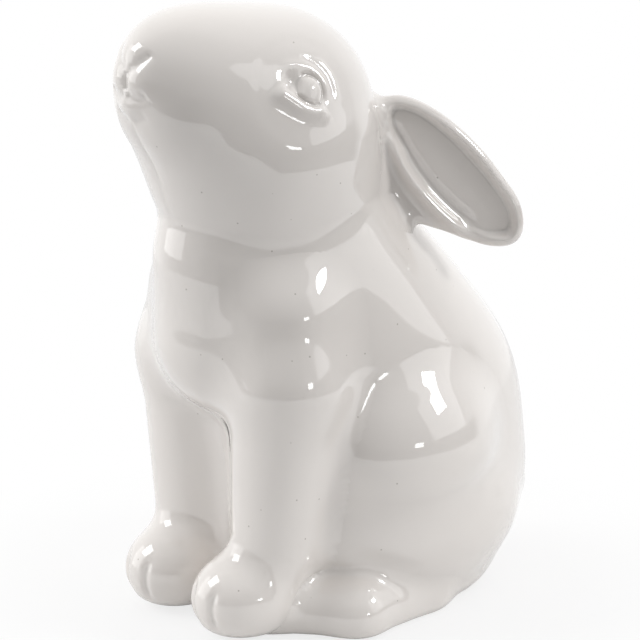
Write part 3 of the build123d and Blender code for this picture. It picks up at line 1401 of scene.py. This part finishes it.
@dataclass
class Ear(Casting):
    """Leaf-shaped ear laid back along the neck: a bowl behind a thick rim, and a lobe below a ridge.

    The blade and the lobe are places in the leaf's own plane. The rays start from a sheet inside the leaf:
    the first and last rows cover its two sides, as far as a share of the outline, and the middle ones its
    edge.
    """

    piece: str = "ear"
    fillet: float = 3.0
    rows: int = 200
    columns: int = 180
    side_rows: float = 0.42
    edge_rows: float = 0.16
    sheet_reach: float = 0.86
    outline_steps: int = 40
    outline_stride: float = 0.8
    turn: float = 54.0
    droop: float = 47.5
    facing_turn: float = -37.0
    facing_rise: float = 8.5
    middle: Point3 = (0.4778, 0.4736, 0.5001)
    blade: Point3 = (3.0, 1.3, 0.0)
    blade_half_sizes: Point3 = (18.2, 6.9, 40.0)
    lobe_root: Point3 = (0.5, -5.3, 0.0)
    lobe_root_radius: float = 7.5
    lobe_tip: Point3 = (14.0, 0.5, 0.0)
    lobe_tip_radius: float = 5.6

    @cached_property
    def axes(self) -> Array:
        """Rows that point along the ear to its tip, across it to the upper rim, and out of its bowl.

        Returns:
            The three unit vectors.
        """
        along = bearing(self.turn, -self.droop)
        facing = bearing(self.facing_turn, self.facing_rise)
        across = unit(np.cross(facing, along))
        return np.array([along, across, np.cross(along, across)])

    def form(self) -> Leaf:
        """The dished leaf.

        Returns:
            The ear's form.
        """
        blade = Ball(np.array(self.blade), np.array(self.blade_half_sizes))
        root, tip = np.array(self.lobe_root), np.array(self.lobe_tip)
        lobe = Limb(root, tip, self.lobe_root_radius, self.lobe_tip_radius)
        return Leaf(self.box.at(*self.middle), self.axes, blade, lobe)

    def rays(self) -> Rays:
        """Rays from a sheet in the middle of the leaf: out, round its rim, and back.

        A column goes towards one place of the outline. Down the rows the start of its ray moves out to that
        place and back, and the ray tilts from out of the bowl to straight out of the back.

        Returns:
            The grid of rays.
        """
        leaf, rows, turn = self.own, crowded(self.rows), turns(self.columns) * 2 * math.pi
        x, y = np.cos(turn), np.sin(turn)
        outline = np.zeros(self.columns)
        for _ in range(self.outline_steps):
            outline -= self.outline_stride * leaf.outline(x * outline, y * outline)
        share = np.clip(np.minimum(rows, 1 - rows) / self.side_rows, 0, 1)
        tilt = np.clip((rows - 0.5) / self.edge_rows, -0.5, 0.5)[:, None] * math.pi
        reach = self.sheet_reach * share[:, None] * outline
        along, across = reach * x, reach * y
        level = (leaf.front(along, across) + leaf.back(along, across)) / 2
        starts = np.stack([along, across, level], -1)
        lean = np.cos(tilt)
        aims = np.stack([lean * x, lean * y, np.broadcast_to(-np.sin(tilt), along.shape)], -1)
        return Rays(leaf.middle + starts @ self.axes, aims @ self.axes)


# Studio


@dataclass(frozen=True)
class Lamp:
    """A soft rectangular lamp that faces the rabbit's middle, in metres and watts."""

    name: str
    direction: Point3
    distance: float
    size: Point2
    power: float

    def hang(self) -> bpy.types.Object:
        """Set up the lamp, out of the camera's sight.

        Returns:
            The lamp.
        """
        light = bpy.data.lights.new(self.name, "AREA")
        light.shape, light.energy = "RECTANGLE", self.power
        light.size, light.size_y = self.size
        lamp = bpy.data.objects.new(self.name, light)
        towards = Vector(unit(np.array(self.direction)))
        lamp.location = Vector((CAD_BOX[0] + CAD_BOX[1]) / 2) + towards * self.distance
        lamp.rotation_euler = (-towards).to_track_quat("-Z", "Y").to_euler()
        lamp.visible_camera = False
        bpy.context.scene.collection.objects.link(lamp)
        return lamp


@dataclass
class Studio:
    """Table, light tent and soft lamps round the rabbit, and the camera.

    The table is a round one, so past its edge a dark room shows in the glaze below the tent's skirt. Lengths
    are metres and angles degrees. Spans give where a fade starts and where it is complete: on the floor in
    metres from its middle, and round the tent in parts of a unit vector.
    """

    azimuth: float = 53.0
    elevation: float = 16.8
    distance: float = 0.902
    aim: Point3 = (0.267, 0.602, 0.405)
    lens: float = 267.6
    sensor: float = 36.0
    clip: Point2 = (0.01, 100.0)
    floor_radius: float = 0.27
    floor_corners: int = 64
    floor_colour: Colour = (0.74, 0.74, 0.74)
    floor_glow: float = 0.1
    floor_glow_span: Point2 = (0.1, 0.05)
    floor_white: float = 0.75
    floor_white_span: Point2 = (0.045, 0.085)
    tent: float = 0.22
    backdrop: float = 1.03
    backdrop_span: Point2 = (0.25, -0.7)
    overhead_share: float = 0.75
    overhead_span: Point2 = (0.2, 0.95)
    opening: float = 0.03
    opening_azimuth: float = 86.0
    opening_half_width: float = 80.0
    opening_side_edge: float = 0.1
    opening_top: float = 6.0
    opening_edge: float = 1.5
    lamps: tuple[Lamp, ...] = (
        Lamp("right_softbox", (0.627, 0.56, 0.517), 0.9, (0.19, 0.15), 1.8),
        Lamp("left_softbox", (-0.452, -0.645, 0.616), 0.9, (0.34, 0.34), 2.0),
        Lamp("low_softbox", tuple(bearing(5.0, 5.0)), 0.9, (0.14, 0.08), 0.25),
        Lamp("left_panel", (-0.66, -0.71, 0.25), 1.6, (1.2, 1.2), 5.8),
        Lamp("right_panel", (0.75, 0.66, 0.45), 1.6, (1.2, 1.0), 3.6),
    )

    def floor(self) -> bpy.types.Object:
        """A level disc under the rabbit: a fan of triangles from its middle to even turns of its radius.

        Returns:
            The floor.
        """
        turn = turns(self.floor_corners) * 2 * math.pi
        rim = np.stack([np.cos(turn), np.sin(turn), 0 * turn], -1) * self.floor_radius
        ring = 1 + np.arange(self.floor_corners)
        faces = np.stack([np.zeros_like(ring), ring, np.roll(ring, -1)], -1)
        mesh = bpy.data.meshes.new("pale_floor")
        mesh.from_pydata(np.concatenate([[GROUND], rim]).tolist(), [], faces.tolist())
        mesh.materials.append(self.floor_paint())
        floor = bpy.data.objects.new("pale_floor", mesh)
        bpy.context.scene.collection.objects.link(floor)
        return floor

    def floor_paint(self) -> bpy.types.Material:
        """Matt paint that glows a little close to the rabbit, and that the camera sees fade to white.

        Returns:
            The floor's material.
        """
        material = bpy.data.materials.new("pale_floor")
        material.use_nodes = True
        bench = Bench(material.node_tree)
        place = bench.node("ShaderNodeTexCoord")["Object"]
        away = bench.node("ShaderNodeVectorMath", {"operation": "LENGTH"}, {0: place})["Value"]
        sheet = bench.node("ShaderNodeBsdfDiffuse", {}, {"Color": (*self.floor_colour, 1.0)})["BSDF"]
        glow, white = (
            bench.node("ShaderNodeEmission", {}, {"Color": WHITE, "Strength": strength})["Emission"]
            for strength in (self.floor_glow, 1.0)
        )
        lit = bench.node("ShaderNodeAddShader", {}, {0: sheet, 1: glow})["Shader"]
        seen = bench.node("ShaderNodeLightPath")["Is Camera Ray"]
        shown = seen * (self.floor_white + (1.0 - self.floor_white) * away.between(*self.floor_white_span))
        near = bench.mix(away.between(*self.floor_glow_span), sheet, lit)
        bench.node("ShaderNodeOutputMaterial", {}, {"Surface": bench.mix(shown, near, white)})
        return material

    def light(self) -> None:
        """Hang the lamps, and make the world a light tent with a white background for the camera."""
        for lamp in self.lamps:
            lamp.hang()
        world = bpy.data.worlds.new("studio")
        world.use_nodes = True
        bench = Bench(world.node_tree)
        tent, backdrop, dark, white = (
            bench.node("ShaderNodeBackground", {}, {"Color": WHITE, "Strength": strength})["Background"]
            for strength in (self.tent, self.backdrop, self.opening, 1.0)
        )
        backdrop_share, room_share = self.shares(bench)
        room = bench.mix(room_share, bench.mix(backdrop_share, tent, backdrop), dark)
        seen = bench.node("ShaderNodeLightPath")["Is Camera Ray"]
        bench.node("ShaderNodeOutputWorld", {}, {"Surface": bench.mix(seen, room, white)})
        bpy.context.scene.world = world
        bpy.context.scene.view_settings.view_transform = "Standard"

    def shares(self, bench: Bench) -> tuple[Wire, Wire]:
        """How much of the backdrop and of the dark room shows in each direction from the rabbit.

        The backdrop brightens smoothly towards the back and overhead. The room shows in front, below the
        tent's skirt and past the table's edge.

        Args:
            bench: The world's node tree.

        Returns:
            The share of the backdrop, and the share of the room.
        """
        aim = bench.node("ShaderNodeTexCoord")["Generated"]
        height, front, ahead = (
            bench.node("ShaderNodeVectorMath", {"operation": "DOT_PRODUCT"}, {0: aim, 1: axis})["Value"]
            for axis in (UP, bearing(self.azimuth - 90, 0.0), bearing(self.opening_azimuth - 90, 0.0))
        )
        low, high = (math.sin(math.radians(self.opening_top + step * self.opening_edge)) for step in (-1, 1))
        reach = math.cos(math.radians(self.opening_half_width))
        beside = ahead.between(reach - self.opening_side_edge, reach + self.opening_side_edge)
        overhead = self.overhead_share * height.between(*self.overhead_span)
        return front.between(*self.backdrop_span) + overhead, height.between(high, low) * beside

    def camera(self) -> bpy.types.Object:
        """Long-lens camera at the photograph's viewing angle.

        Returns:
            The camera, which the scene then uses.
        """
        low, high = (np.array(corner) for corner in CAD_BOX)
        aim = low + (high - low) * self.aim
        back = bearing(self.azimuth - 90, self.elevation)
        data = bpy.data.cameras.new("camera")
        data.lens, data.sensor_width = self.lens, self.sensor
        data.clip_start, data.clip_end = self.clip
        camera = bpy.data.objects.new("camera", data)
        camera.location = Vector(aim + back * self.distance)
        camera.rotation_euler = (-Vector(back)).to_track_quat("-Z", "Y").to_euler()
        bpy.context.scene.collection.objects.link(camera)
        bpy.context.scene.camera = camera
        return camera


def main() -> None:
    """Build the castings in the order in which they are joined, then set the studio round them."""
    torso = Torso(None)
    haunch = Haunch(torso.own)
    foreleg = Foreleg(Joined(torso.own, Pair(haunch.own), haunch.fillet))
    foot = HindFoot(Joined(foreleg.carrier, Pair(foreleg.own), foreleg.fillet))
    tail = Tail(torso.own)
    head = Head(torso.own)
    ear = Ear(Joined(torso.own, head.own, head.fillet))
    for casting in (torso, haunch, foreleg, foot, tail, head, ear):
        for side in casting.sides:
            obj = casting.build(side)
            casting.dress(obj)
            LOG.info("%s: %d faces over %s", obj.name, len(obj.data.polygons), casting.node(side))
    studio = Studio()
    studio.floor()
    studio.light()
    studio.camera()


if __name__ == "__main__":
    logging.basicConfig(level=logging.INFO, format="%(name)s: %(message)s")
    main()
